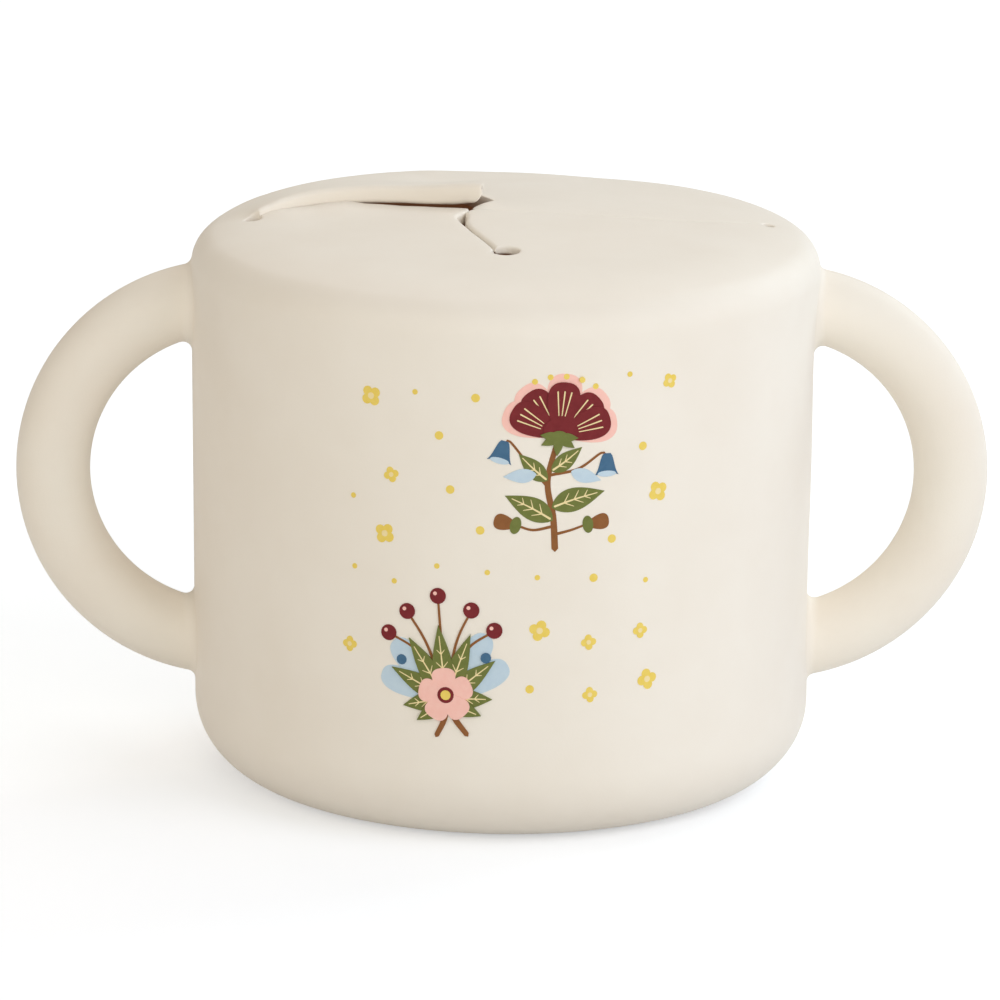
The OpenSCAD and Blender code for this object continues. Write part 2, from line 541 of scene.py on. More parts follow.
# How far the soft rim stands above or below its even level, by direction in degrees.
RIM_WAVE = ((40, 0.0), (50, -0.1), (61, -0.37), (70, -0.58), (77, -0.5), (86, -0.4),
            (94, -0.34), (102, -0.05), (110, 0.25), (120, 0.0), (128, -0.25), (135, -0.35),
            (141, -0.42), (148, -0.3), (155, -0.22), (166, -0.1), (175, 0.0))
# The wave grows from nothing at the first radius, over the second length.
WAVE_FROM, WAVE_OVER = 20, 18


def direction(p):
    """Each point's direction from the cup's axis, in degrees from +X."""
    return np.degrees(np.arctan2(p[:, 1], p[:, 0])) % 360


def rim_wave(p):
    angle = direction(p)
    smooth = np.mean([lookup(RIM_WAVE, (angle + d) % 360) for d in (-4, -2, 0, 2, 4)], 0)
    return smooth * smoothstep((lengths(p) - WAVE_FROM) / WAVE_OVER)


def dome(p):
    r = lengths(p)
    edge = (RING_R / SHOULDER_X) ** 2
    out = np.clip((r - BULGE_FROM) / (RING_R - BULGE_FROM), 0, 1)
    return (RING_Z + DOME_RISE * (edge - (r / SHOULDER_X) ** 2)
            + BULGE * BULGE_SCALE * out ** 2 * (1 - out) + rim_wave(p))


# How far the back lip of the left slit stands above the dome, by its place in x.
BACK_LIP = ((-36.6, 0.45), (-35.6, 0.95), (-34.9, 1.3), (-33.7, 1.4), (-32.7, 1.78),
            (-31.7, 1.93), (-29.6, 2.3), (-27.8, 2.47), (-25.3, 2.66), (-19.9, 2.72),
            (-13.6, 2.69), (-7, 3.26), (-6, 3.36))
# And along the back slit, by the share of its length.
TIP_EDGE = ((0.02, 3.42), (0.15, 3.2), (0.35, 2.7), (0.55, 1.95), (0.75, 1.05), (0.92, 0.3),
            (1.0, 0.0))
# And at the shoulder behind them, by direction in degrees.
SHOULDER_SWELL = ((170, 0.0), (160, 0.2), (150, 0.45), (140, 0.55), (130, 0.45), (120, 0.2),
                  (112, 0.0))
# The front lip of the same slit, by its place in x.
FRONT_LIP = ((-36.2, 0.0), (-35, 0.2), (-33.5, 0.5), (-31, 0.48), (-28, 0.45), (-25.5, 0.72),
             (-22.8, 0.76), (-20.3, 0.26), (-14.8, -0.2), (-9.6, -0.2), (-6, 0.0))
FRONT_LIP_REACH = 5.0
# Beyond the left and the back hole the swell is held down at these radii.
HELD_LEFT, HELD_BACK = (38.5, 41, 44), (26, 30, 35, 40)
# How freely the swell may pass beside its knots.
KNOT_SLACK = 0.5


def swell_knots():
    """Points of the lid, each with the height that the swell should have there."""
    knots = [(*TIP_CORNER, BACK_LIP[-1][1])]
    line = SLITS["left"][0]
    knots += [(*line[np.argmin(abs(line[:, 0] - x))], h) for x, h in BACK_LIP]
    line = SLITS["back"][0]
    knots += [(*line[min(int(share * len(line)), len(line) - 1)], h) for share, h in TIP_EDGE]
    for angle, h in SHOULDER_SWELL:
        knots.append((*polar(RING_R, angle), h))
        knots.append((*polar(CUP_R, angle), 0.0))
    knots += [(*polar(r, LEFT_AT), 0.0) for r in HELD_LEFT]
    knots += [(*polar(r, BACK_AT), 0.0) for r in HELD_BACK]
    return np.array(knots)


def spline_kernel(a, b):
    d2 = ((a[:, None, :] - b[None]) ** 2).sum(2)
    return np.where(d2 > 0, 0.5 * d2 * np.log(np.maximum(d2, 1e-12)), 0)


KNOTS = swell_knots()


def solve_swell():
    """The weights of the thin, bending sheet that passes near all the knots."""
    n = len(KNOTS)
    p = np.hstack([np.ones((n, 1)), KNOTS[:, :2]])
    m = np.zeros((n + 3, n + 3))
    m[:n, :n] = spline_kernel(KNOTS[:, :2], KNOTS[:, :2]) + np.eye(n) * KNOT_SLACK
    m[:n, n:] = p
    m[n:, :n] = p.T
    return np.linalg.solve(m, np.concatenate([KNOTS[:, 2], [0, 0, 0]]))


SWELL = solve_swell()


def back_swell(p):
    """The raised sheet behind the left slit."""
    n = len(KNOTS)
    return spline_kernel(p, KNOTS[:, :2]) @ SWELL[:n] + SWELL[n] + p @ SWELL[n + 1:]


def front_swell(p):
    """The slightly raised front lip of the left slit."""
    line = SLITS["left"][0]
    near = nearest(p, line)
    rise = lookup(FRONT_LIP, line[near, 0])
    return rise * np.exp(-(lengths(p - line[near]) / FRONT_LIP_REACH) ** 2)


# The fixed sheet's swell ends past this radius, over this length, but not between the holes.
SWELL_END, SWELL_OVER = 36, 2
# It comes in over these lengths past the left and the back hole.
LEFT_OVER, BACK_OVER = 4, 3
# The front lip's swell ends in this direction.
FRONT_LIP_END = 230


def ring_swell(p):
    """The swell of the fixed sheet, eased to nothing beyond the left and back holes."""
    r = lengths(p)
    angle = direction(p)
    from_left = r * np.sin(np.radians(np.clip(LEFT_AT - angle, 0, 90)))
    from_back = r * np.sin(np.radians(np.clip(angle - BACK_AT, 0, 90)))
    ease = 1 - smoothstep((r - SWELL_END) / SWELL_OVER) * (1 - smoothstep(from_left / LEFT_OVER))
    ease = ease * np.where(r > BULGE_FROM, smoothstep(from_back / BACK_OVER), 1)
    back = (angle > BACK_AT) & (angle < LEFT_AT)
    front = (angle >= LEFT_AT) & (angle < FRONT_LIP_END)
    return np.where(back, back_swell(p) * ease, np.where(front, front_swell(p), 0))


def rounding(gap, r):
    """How far a quarter-round edge of radius r has fallen, at a distance from the edge."""
    d = np.clip(gap, 0, r)
    return r - np.sqrt(np.maximum(r * r - (r - d) ** 2, 0))


def front_lip_radius(along):
    soft = smoothstep((SHARP_FROM + SHARP_OVER - along) / SHARP_OVER)
    return SHARP_R + (EDGE_R["left"] - SHARP_R) * soft


def edge_drop(p, back_lip=BACK_LIP_R):
    """How far the soft edges of the slits and holes fall below the sheet."""
    drop = np.zeros(len(p))
    for name in HOLES:
        line, along = SLITS[name]
        near = nearest(p, line)
        r = np.full(len(p), EDGE_R[name])
        if name == "left":
            r = front_lip_radius(along[near])
            run = np.gradient(line, axis=0)[near]
            step = p - line[near]
            r[run[:, 0] * step[:, 1] - run[:, 1] * step[:, 0] < 0] = back_lip
        half = lookup(OPENING[name], along[near]) / 2
        slit = rounding(line_distance(p, line) - half, r)
        hole = rounding(lengths(p - HOLES[name]) - HOLE_R[name], RIM_R)
        drop = np.maximum(drop, np.maximum(slit, hole))
    return drop


def tip_drop(p, outline, back_lip, side_r, side_reach):
    """The same for the raised flap, whose tip keeps clear of the slits."""
    near = lengths(p - MEET) < TIP_REACH
    part = outline[lengths(outline - MEET) < TIP_REACH + 2]
    corner = int(np.argmin(lengths(part - TIP_CORNER)))
    to_lip, to_side = part[:corner + 1], part[corner:]
    lip = rounding(line_distance(p, to_lip), back_lip)
    side = rounding(line_distance(p, to_side) * side_r / side_reach, side_r)
    return np.where(near, np.maximum(lip, side), edge_drop(p, back_lip))


# Lid sheets

# The grid of points over a sheet, and how far it keeps from the outline.
GRID, GRID_CLEAR = 1.1, 0.75
# Points of the rounded edges are never closer to each other or to the outline than this.
CLOSEST = 0.012


def sheet(loops, radius_at):
    """Points and triangles of a flat region, with rows of points along its rounded edges."""
    points, edges, extra = [], [], []
    for loop in loops:
        edges += [(len(points) + i, len(points) + j) for i, j in loop_edges(len(loop))]
        points += [tuple(p) for p in loop]
        normal = to_left(unit(np.roll(loop, -1, 0) - np.roll(loop, 1, 0)))
        for p, out in zip(loop, normal):
            r = radius_at(p)
            if r:
                extra += [p + side * out * r * row for row in ROWS[1:] for side in (1, -1)]
    extra = np.array(extra)
    extra = extra[inside(extra, loops)]
    cells = {}
    for p in extra[loops_distance(extra, loops) > CLOSEST]:
        cells.setdefault((round(p[0] / CLOSEST), round(p[1] / CLOSEST)), tuple(p))
    points += [*cells.values(), *(tuple(p) for p in inner_grid(loops, GRID, GRID_CLEAR))]
    return triangulate(points, edges, loops)


# The lid's slits and holes all end inside this radius.
SLITS_R = 39
# How close to a seam or to a hole's rim a point of the outline lies when it is on it.
ON_SEAM, ON_RIM = 1e-6, 1e-3


def edge_radius(p):
    """Rounding radius of the outline at p, and 0 on a seam or the outer circle."""
    if any(line_distance(p[None], s)[0] < ON_SEAM for s in SEAMS.values()):
        return 0
    for name in HOLES:
        if abs(np.linalg.norm(p - HOLES[name]) - HOLE_R[name]) < ON_RIM:
            return RIM_R
    if np.linalg.norm(p) > SLITS_R:
        return 0
    best = min(HOLES, key=lambda n: line_distance(p[None], SLITS[n][0])[0])
    if best == "left" and min(lengths(LEFT_BACK - p)) < ON_RIM:
        return BACK_LIP_R
    return EDGE_R[best]


# The raised flap's outline is part of its lip left of this place, and up to this far
# behind its corner.
LIP_LEFT_OF, LIP_BEHIND = -9, 0.6


def raised_radius(p):
    """The same for the raised flap, whose tip has soft edges all round."""
    if np.linalg.norm(p - MEET) < TIP_REACH:
        on_lip = p[1] < TIP_CORNER[1] + LIP_BEHIND or p[0] < LIP_LEFT_OF
        return BACK_LIP_R if on_lip else TIP_LOW_REACH
    return edge_radius(p)


LOW_EDGE_R = 0.3
# The raised flap is rounder underneath: along its lip, and up its free side.
LIP_LOW_R, TIP_LOW_R = 0.7, 2.5
TIP_LOW_REACH = 1.6
# Half the width that stays open at the bottom of the front slit, along its length.
CLOSED = ((0, 0.006), (2, 0.01), (3, 0.2), (4.2, 0.4), (6, 0.4), (8, 0.12), (11, 0.05))
# A point this close to the wall of the front slit belongs to it.
ON_WALL = 0.015
# The lid is a little thinner round its front hole, and thicker along the raised lip.
THIN_AT, THIN_BY, THIN_REACH = HOLES["front"] + (-0.6, 1.2), 1.0, 3.2
LIP_EXTRA_REACH = 2.6
LIP_EXTRA = ((-33, 0.0), (-25, 0.38), (-14.5, 0.4), (-11.5, 0.62), (-7.5, 0.85), (-4, 0.6))


def closed_below(verts):
    """The sheet's underside in plan: the walls of the front slit lean in until they meet."""
    low = verts.copy()
    line, along = SLITS["front"]
    near = nearest(verts, line)
    step = verts - line[near]
    gap = lengths(step)
    half = lookup(OPENING["front"], along[near]) / 2
    shut = lookup(CLOSED, along[near])
    on_edge = (gap < half + ON_WALL) & (half > shut)
    low[on_edge] = line[near][on_edge] + step[on_edge] * (shut / gap)[on_edge][:, None]
    return low


def sheet_solid(verts, swell, tip=None):
    """Top and bottom points of a sheet about LID_T thick; the bottom ones come second."""
    base = dome(verts) + swell(verts)
    thin = THIN_BY * np.exp(-(lengths(verts - THIN_AT) / THIN_REACH) ** 4)
    if tip is None:
        top_drop, low_drop = edge_drop(verts), edge_drop(verts, LOW_EDGE_R)
    else:
        top_drop = tip_drop(verts, tip, BACK_LIP_R, EDGE_R["back"], EDGE_R["back"])
        low_drop = tip_drop(verts, tip, LIP_LOW_R, TIP_LOW_R, TIP_LOW_REACH)
        to_lip = line_distance(verts, np.vstack([LEFT_BACK[:CROSS_AT], tip]))
        thin = thin - (lookup(LIP_EXTRA, verts[:, 0])
                       * np.exp(-(to_lip / LIP_EXTRA_REACH) ** 2))
    top = np.column_stack([verts, base - top_drop])
    low = np.column_stack([closed_below(verts), base - LID_T + thin + low_drop])
    return np.vstack([top, low])


def make_flap(name, swell):
    loop = flap_loop(name)
    raised = name == "back_left"
    verts, tris, _ = sheet([loop], raised_radius if raised else edge_radius)
    points = sheet_solid(verts, swell, loop if raised else None)
    walls = side_walls(tris, len(verts))
    # Painted shade: the flap's underside, all but a band along its edge, takes the darker, warmer
    # inside copy of the cream silicone.
    under = loops_distance(verts[tris].mean(1), [loop]) > LIP_LOW_R
    slots = [0] * len(tris) + [int(u) for u in under] + [0] * len(walls)
    faces = both_sides(tris, len(verts)) + walls
    obj = make_object("flap_" + name, points, faces, [cream, shaded_inside_cream], slots)
    a, b = (HOLES[hole] for hole in FLAP_HOLES[name])
    into = to_left(unit(b - a))
    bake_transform(obj)
    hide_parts("flap_" + name)


# The cup

AROUND = 256
BASE_R, WALL_TOP_R = 44.08, 45.0
BASE_FILLET = 11.17
WALL_T, FLOOR_T = 2.6, 3.0
TAPER = math.atan((WALL_TOP_R - BASE_R) / (SHOULDER_Z - BASE_FILLET))


def body_radius(z):
    """Outer radius of the cup's wall at height z."""
    z = np.asarray(z, float)
    wall = BASE_R + (WALL_TOP_R - BASE_R) * (z - BASE_FILLET) / (SHOULDER_Z - BASE_FILLET)
    low = BASE_R - BASE_FILLET + np.sqrt(np.maximum(BASE_FILLET ** 2
                                                    - (BASE_FILLET - z) ** 2, 0))
    high = SHOULDER_X + np.sqrt(np.maximum(SHOULDER_R ** 2 - (z - SHOULDER_Z) ** 2, 0))
    return np.where(z < BASE_FILLET, low, np.where(z > SHOULDER_Z, high, wall))


# The soft wall is drawn in a little on its right side, by height.
DENT = ((0, 0.0), (4, -0.15), (8, -0.3), (13, -0.25), (20, 0.1), (30, 0.33), (36, 0.37),
        (43, 0.4), (49, 0.48), (55, 0.62), (60, 0.74), (66, 0.7), (71, 0.45), (76, 0.2), (79, 0.0))
DENT_AT = math.radians(-4)


def dent(z, angle):
    side = np.maximum(np.cos(np.asarray(angle) - DENT_AT), 0) ** 2
    return np.mean([lookup(DENT, z + d) for d in (-2, -1, 0, 1, 2)]) * side


def curve(cx, cz, rx, rz, start, end, n):
    a = np.radians(np.linspace(start, end, n))
    return list(zip(cx + rx * np.cos(a), cz + rz * np.sin(a)))


def joined(top, bottom, parts, floor_z, floor_radii):
    """A profile: two curves, the straight wall between them in equal parts, and the floor."""
    (r0, z0), (r1, z1) = top[-1], bottom[0]
    shares = (k / parts for k in range(1, parts))
    wall = [(r0 + (r1 - r0) * s, z0 + (z1 - z0) * s) for s in shares]
    return top + wall + bottom + [(r, floor_z) for r in floor_radii]


def outer_profile():
    t = math.degrees(TAPER)
    top = curve(SHOULDER_X, SHOULDER_Z, SHOULDER_R, SHOULDER_R, 90 - DOME_TILT, -t, 18)[1:]
    bottom = curve(BASE_R - BASE_FILLET, BASE_FILLET, BASE_FILLET, BASE_FILLET, -t, -90, 26)
    return joined(top, bottom, 40, 0.0, (30, 25, 20, 15, 10, 5, 2))


def inner_profile():
    fillet = BASE_FILLET - WALL_T
    top = curve(SHOULDER_X, SHOULDER_Z, SHOULDER_R - WALL_T, RING_Z - LID_T - SHOULDER_Z + 0.1,
                66, 0, 9)
    bottom = curve(BASE_R - BASE_FILLET, FLOOR_T + fillet, fillet, fillet, 0, -90, 14)
    return joined(top, bottom, 20, FLOOR_T, (27, 21, 15, 9, 4))


def make_cup():
    """One closed skin: base, wall, shoulder, domed ring of the lid, and the inside."""
    angles = np.arange(AROUND) * 2 * math.pi / AROUND
    circle = rays(angles)
    verts, tris, place = sheet([circle * RING_R, ring_loop()], edge_radius)
    n = len(verts)
    points = [tuple(p) for p in sheet_solid(verts, ring_swell)]
    rim = [place[k] for k in range(AROUND)]
    walls = side_walls(tris, n, set(rim))
    faces = both_sides(tris, n) + walls
    # Painted shade: the lid ring's underside and the whole inside of the cup take the darker,
    # warmer inside copy of the cream silicone.
    slots = [0] * len(tris) + [1] * len(tris) + [0] * len(walls)
    for inner, before, profile in ((False, rim, outer_profile()),
                                   (True, [n + k for k in rim], inner_profile())):
        added = []
        for r, z in profile:
            ring = circle * (r - dent(z, angles))[:, None]
            lift = ring_swell(ring) + rim_wave(ring)
            lift = lift * smoothstep((z - SHOULDER_Z) / SHOULDER_R)
            now = range(len(points), len(points) + AROUND)
            points += [(x, y, z + h) for (x, y), h in zip(ring, lift)]
            added += [(before[k], now[k], now[m], before[m]) for k, m in loop_edges(AROUND)]
            before = now
        added += [(before[k], len(points), before[m]) for k, m in loop_edges(AROUND)]
        points.append((0, 0, profile[-1][1]))
        faces += [f[::-1] for f in added] if inner else added
        slots += [int(inner)] * len(added)
    obj = make_object("cup_shell", points, faces, [cream, shaded_inside_cream], slots)
    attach(obj, "cup")
    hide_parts("cup_body", "lid_ring")


# Handles

GRIP_R = 5.3
HANDLE_R = 25.25
HANDLE_X = {-1: 39.35, 1: 39.1}
HANDLE_Z = 43.9
FLARE_OUTER, FLARE_INNER = 1.0, 1.9
BURIED = 1.3
# Points round the grip, along its ring, and along each flare.
GRIP_AROUND, GRIP_ALONG, FLARE_ROWS = 72, 72, 11
# The ring meets the wall between these two directions from its middle, in degrees.
MEETS_FROM, MEETS_TO = 100, 40
HALVINGS = 40
# The flares lie this far inside the wall, so that no gap shows.
SUNK = 0.01


def make_handle(name, side):
    """A round ring handle whose ends flare out softly where they meet the cup."""

    def at(theta, phi, grip_r=GRIP_R):
        r = HANDLE_R + grip_r * math.cos(phi)
        return np.array([HANDLE_X[side] + r * math.cos(theta), grip_r * math.sin(phi),
                         HANDLE_Z + r * math.sin(theta)])

    def wall_radius(p):
        return float(body_radius(p[2])) - dent(p[2], math.atan2(p[1], p[0] * side))

    def clearance(theta, phi):
        p = at(theta, phi)
        return math.hypot(p[0], p[1]) - wall_radius(p)

    def onto_wall(p, gap):
        """The point moved level and radially, to stand at this gap from the wall."""
        return np.array([*(p[:2] / math.hypot(p[0], p[1]) * (wall_radius(p) + gap)), p[2]])

    def meeting(phi, sign, want):
        """The direction in which the grip stands this clear of the wall."""
        inner, outer = sign * math.radians(MEETS_FROM), sign * math.radians(MEETS_TO)
        for _ in range(HALVINGS):
            mid = (inner + outer) / 2
            if clearance(mid, phi) > want:
                outer = mid
            else:
                inner = mid
        return (inner + outer) / 2

    rows = []
    for phi in np.arange(GRIP_AROUND) * 2 * math.pi / GRIP_AROUND:
        flare = FLARE_OUTER + (FLARE_INNER - FLARE_OUTER) * (1 - math.cos(phi)) / 2
        flare_rows = flare * (1 - np.cos(np.linspace(0, math.pi / 2, FLARE_ROWS)))
        ends = {}
        for sign in (1, -1):
            near = []
            for gap in flare_rows:
                th = meeting(phi, sign, gap)
                near.append(onto_wall(at(th, phi, GRIP_R + rounding(gap, flare)), gap - SUNK))
            ends[sign] = [onto_wall(near[0], -BURIED)] + near, th
        (first, th0), (last, th1) = ends[1], ends[-1]
        middle = [at(th0 + (th1 - th0) * k / GRIP_ALONG, phi) for k in range(1, GRIP_ALONG)]
        rows.append(first + middle + last[::-1])
    grid = np.array(rows)
    grid[:, :, 0] *= side
    n = grid.shape[1]
    points = grid.reshape(-1, 3)
    around = loop_edges(GRIP_AROUND)
    faces = [(i * n + k, i * n + k + 1, j * n + k + 1, j * n + k)
             for i, j in around for k in range(n - 1)]
    for k, turn in ((0, 1), (n - 1, -1)):
        cap = [i * n + k for i in range(GRIP_AROUND)]
        faces += [(cap[i], cap[j], len(points))[::turn] for i, j in around]
        points = np.vstack([points, points[cap].mean(0)])
    if side > 0:
        faces = [f[::-1] for f in faces]
    obj = make_object(name, points, faces, [cream_grip])
    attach(obj, "cup")
    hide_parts(name)


# The printed design

# The design is drawn flat, in mm: u runs round the wall from its front, v is the height.
FRONT_AT = math.radians(-91.84)
INK_FIRST, INK_STEP, INK_ROOT = 0.035, 0.014, 0.04
INK_GRID, INK_CLEAR = 1.2, 0.3


def on_wall(uv, lift):
    """Places a flat point of the design on the cup's wall, standing proud by lift."""
    uv = np.asarray(uv, float)
    angle = FRONT_AT + uv[:, 0] / CUP_R
    r = np.array([float(body_radius(v)) - dent(v, a) for v, a in zip(uv[:, 1], angle)]) + lift
    return np.column_stack([r[:, None] * rays(angle), uv[:, 1]])


def turned(points, x, y, degrees):
    c, s = math.cos(math.radians(degrees)), math.sin(math.radians(degrees))
    points = np.asarray(points, float)
    return np.column_stack([x + points[:, 0] * c - points[:, 1] * s,
                            y + points[:, 0] * s + points[:, 1] * c])


def disc(r, squash=1.0):
    a = np.linspace(0, 2 * math.pi, max(12, int(r * 16)), endpoint=False)
    return rays(a) * (r, r * squash)


# The power that moves a leaf's widest place towards its foot.
LEAF_FULLNESS = 0.75


def two_sided(along, bend, half):
    """A closed outline: out along one side of a middle line, and back along the other."""
    upper = np.column_stack([along, bend + half])
    lower = np.column_stack([along, bend - half])[-2:0:-1]
    return np.vstack([upper, lower])


def leaf(length, width, droop=0.0):
    """A pointed leaf along its middle line; droop bends it to its right."""
    t = np.linspace(0, 1, 18)
    half = width / 2 * np.sin(math.pi * t ** LEAF_FULLNESS)
    return two_sided(length * t, -droop * t ** 2, half)


def petal(length, width):
    """A petal with a narrow foot and a full round end."""
    t = np.linspace(0, math.pi, 22)
    along = (1 - np.cos(t)) / 2
    half = width / 2 * np.sin(t) ** 0.8 * (0.45 + 0.75 * along)
    return two_sided(length * along, 0, half)


STROKE_STEP = 0.4


def stroke(path, first, last):
    """A tapered line with round ends along a smooth path through a few points."""
    path = np.asarray(path, float)
    padded = np.vstack([2 * path[0] - path[1], path, 2 * path[-1] - path[-2]])
    fine = []
    for k in range(1, len(padded) - 2):
        p0, p1, p2, p3 = padded[k - 1:k + 3]
        n = max(3, int(np.linalg.norm(p2 - p1) / STROKE_STEP))
        for t in np.linspace(0, 1, n, endpoint=False):
            fine.append(0.5 * (2 * p1 + (p2 - p0) * t + (2 * p0 - 5 * p1 + 4 * p2 - p3) * t ** 2
                               + (3 * p1 - p0 - 3 * p2 + p3) * t ** 3))
    fine = np.vstack([fine, path[-1]])
    run = unit(np.gradient(fine, axis=0))
    side = to_left(run)
    half = np.linspace(first, last, len(fine))[:, None] / 2
    tip = fine[-1] + run[-1] * half[-1]
    foot = fine[0] - run[0] * half[0]
    return np.vstack([foot, fine - side * half, tip, (fine + side * half)[::-1]])


def bell(size):
    """A hanging bell flower, its mouth at the far end."""
    t = np.linspace(0, 1, 10)
    half = size * (0.2 + 0.36 * t ** 0.6 + 0.14 * t ** 5)
    upper = np.column_stack([size * 1.25 * t, half])
    lips = [(size * 1.12, half[-1] * 0.5), (size * 1.34, 0), (size * 1.12, -half[-1] * 0.5)]
    return np.vstack([upper, lips, upper[::-1] * (1, -1)])


class Design:
    """Flat ink shapes in the order they are printed."""

    def __init__(self):
        self.shapes = []
        self.place = (0, 0, 0)

    def add(self, ink_name, outline, x=0, y=0, degrees=0):
        """Prints an outline, turned and moved within the figure that is being drawn."""
        outline = turned(turned(outline, x, y, degrees), *self.place)
        self.shapes.append((ink_name, outline))

    def veined_leaf(self, x, y, degrees, length, width, droop=0.0, veins=3):
        self.add("olive", leaf(length, width, droop), x, y, degrees)
        at = lambda t: (length * t, -droop * t ** 2)
        rib = [at(t) for t in (0.06, 0.3, 0.55, 0.86)]
        self.add("straw", stroke(rib, 0.3, 0.12), x, y, degrees)
        for k in range(veins):
            t = 0.24 + 0.19 * k
            start = np.array(at(t))
            reach = width * 0.3 * math.sin(math.pi * (t + 0.1) ** LEAF_FULLNESS)
            for side in (1, -1):
                end = start + (reach * 1.1, side * reach)
                self.add("straw", stroke([start, end], 0.17, 0.08), x, y, degrees)


def bloom_sprig(d):
    """A tall sprig: one large bloom over leaves, bells and seed pods."""
    d.add("brown", stroke([(1.7, -13), (0.9, -8.5), (-0.5, -3.5), (0.2, 2.6)], 0.95, 0.75))
    for path in ([(-0.1, -4.6), (-3.6, -1.2), (-6.4, 1.6), (-7.0, 1.2)],
                 [(-0.3, -2.6), (3.6, -1.4), (6.6, 1.0), (7.4, 0.6)],
                 [(1.3, -11), (3.6, -10.2), (5.4, -9.4)],
                 [(1.1, -9.8), (-1.6, -10.6), (-3.6, -10.3)]):
        d.add("brown", stroke(path, 0.42, 0.3))
    for values in ((0.9, -9.0, 152, 7.6, 3.3, -0.8), (0.5, -7.2, 28, 7.8, 3.4, 0.9),
                   (-0.5, -3.4, 148, 5.6, 2.5, 0.5, 2), (-0.2, -2.0, 38, 5.4, 2.4, -0.5, 2)):
        d.veined_leaf(*values)
    for x, y, turn in ((-7.1, 1.6, 262), (7.5, 1.0, 276)):
        d.add("blue", bell(2.5), x, y, turn)
        d.add("pale_blue", disc(1.35, 0.32), *polar(2.9, turn) + (x, y), turn + 90)
    d.add("pale_blue", leaf(4.6, 2.0, 0.4), -2.2, -2.6, 196)
    d.add("pale_blue", leaf(4.6, 2.0, -0.4), 2.6, -1.8, -18)
    for x, y, turn in ((5.3, -9.4, 15), (-3.5, -10.3, 172)):
        d.add("brown", petal(3.3, 2.5), *polar(0.5, turn) + (x, y), turn)
        d.add("olive", disc(1.25, 0.62), *polar(0.7, turn) + (x, y), turn + 90)
    x, y = 0.3, 4.2
    for turn in (90, 44, 136, 14, 166):
        d.add("pink", petal(8.3, 5.4), x, y - 0.6, turn)
    for turn in (132, 48, 157, 23, 90):
        d.add("burgundy", petal(7.5, 5.0), x, y - 1.0, turn)
        for spread in (-9, 0, 9):
            vein = [polar(r, turn + spread) + (x, y - 1.0) for r in (2.8, 6.2)]
            d.add("straw", stroke(vein, 0.12, 0.2))
    d.add("burgundy", disc(2.3, 0.8), x, y - 0.4)
    for turn in (-150, -90, -30, 178, 2):
        d.add("olive", leaf(2.7, 1.3), x, y - 1.3, turn)
    d.add("olive", disc(1.25, 0.75), x, y - 1.3)
    for turn in (60, 75, 90, 105, 120):
        a = math.radians(turn)
        d.add("yellow", disc(0.42), x + 8.6 * math.cos(a), y + 8.2 * math.sin(a) - 0.9)


def leaf_fan(d):
    """A low fan of leaves round a pink blossom, with berries over it."""
    for turn, length in ((24, 8.6), (156, 8.6), (52, 9.6), (128, 9.6)):
        d.add("pale_blue", petal(length + 1.4, 4.3), 0, -5.2, turn)
    berries = ((-7.4, 4.6), (-4.3, 7.6), (0.4, 9.6), (4.9, 7.2), (7.8, 4.0))
    for x, y in berries:
        d.add("brown", stroke([(0, -5), (x * 0.45, y * 0.35), (x, y)], 0.45, 0.3))
    d.add("brown", stroke([(0.2, -4.5), (-0.6, -8), (-2.0, -10.4)], 1.0, 0.7))
    d.add("brown", stroke([(-0.2, -4.5), (0.8, -8), (2.3, -10.6)], 1.0, 0.7))
    for turn, length, droop in ((2, 6.4, 0.7), (178, 6.4, -0.7), (38, 9.0, 0.6), (142, 9.0, -0.6),
                                (66, 10.2, 0.3), (114, 10.2, -0.3), (90, 10.8, 0.0)):
        d.veined_leaf(0, -5.4, turn, length, 2.9, droop)
    for turn in (-152, -28):
        d.veined_leaf(0, -5.6, turn, 5.2, 2.4, 0.0, 2)
    size = 3.9
    for turn in (18, 90, 162, 234, 306):
        d.add("pink", petal(size, size * 0.95), 0, -4.6, turn)
    d.add("burgundy", disc(size * 0.3), 0, -4.6)
    d.add("yellow", disc(0.72), 0, -4.6)
    for x, y in berries:
        d.add("burgundy", disc(1.15), x, y)
        d.add("pink", disc(0.28), x - 0.35, y + 0.4)
    for x, y in ((-5.9, 0.7), (6.2, 0.2)):
        d.add("blue", disc(0.75), x, y)


# The radius and the number of the strewn blossoms and dots, and the room between two of them.
STREWN = ((1.55, 5), (1.15, 6), (0.62, 8), (0.4, 9))
STREWN_ROOM = 4.6
# They lie between these places across and up the front.
STREWN_U, STREWN_V = (-23, 25), (21, 70)
STREWN_SEED, MOST_TRIES = 11, 4000


def scatter(d, keep_out):
    """Small round blossoms and dots strewn over the rest of the front."""
    rng = np.random.default_rng(STREWN_SEED)
    spots = []
    for size, count in STREWN:
        placed = tries = 0
        while placed < count and tries < MOST_TRIES:
            tries += 1
            spot = np.array([rng.uniform(*STREWN_U), rng.uniform(*STREWN_V)])
            if any((((spot - c) / (r + size)) ** 2).sum() < 1 for c, r in keep_out):
                continue
            if any(np.linalg.norm(spot - q) < STREWN_ROOM + size + other for q, other in spots):
                continue
            spots.append((spot, size))
            placed += 1
            turn = rng.uniform(0, 90)
            if size > 1:
                for k in range(4):
                    centre = spot + polar(size * 0.52, turn + 90 * k)
                    d.add("yellow", disc(size * 0.46), *centre)
                d.add("straw", disc(size * 0.3), *spot)
            else:
                d.add("yellow", disc(size), *spot)


def printed_shape(outline, lift):
    """One closed ink shape on the wall: points and faces."""
    step = lengths(np.roll(outline, -1, 0) - outline)
    outline = outline[step > 1e-4]
    grid = inner_grid([outline], INK_GRID, INK_CLEAR)
    verts, tris, _ = triangulate(np.vstack([outline, grid]), loop_edges(len(outline)), [outline])
    top, low = on_wall(verts, lift), on_wall(verts, -INK_ROOT)
    n = len(verts)
    return np.vstack([top, low]), both_sides(tris, n) + side_walls(tris, n)


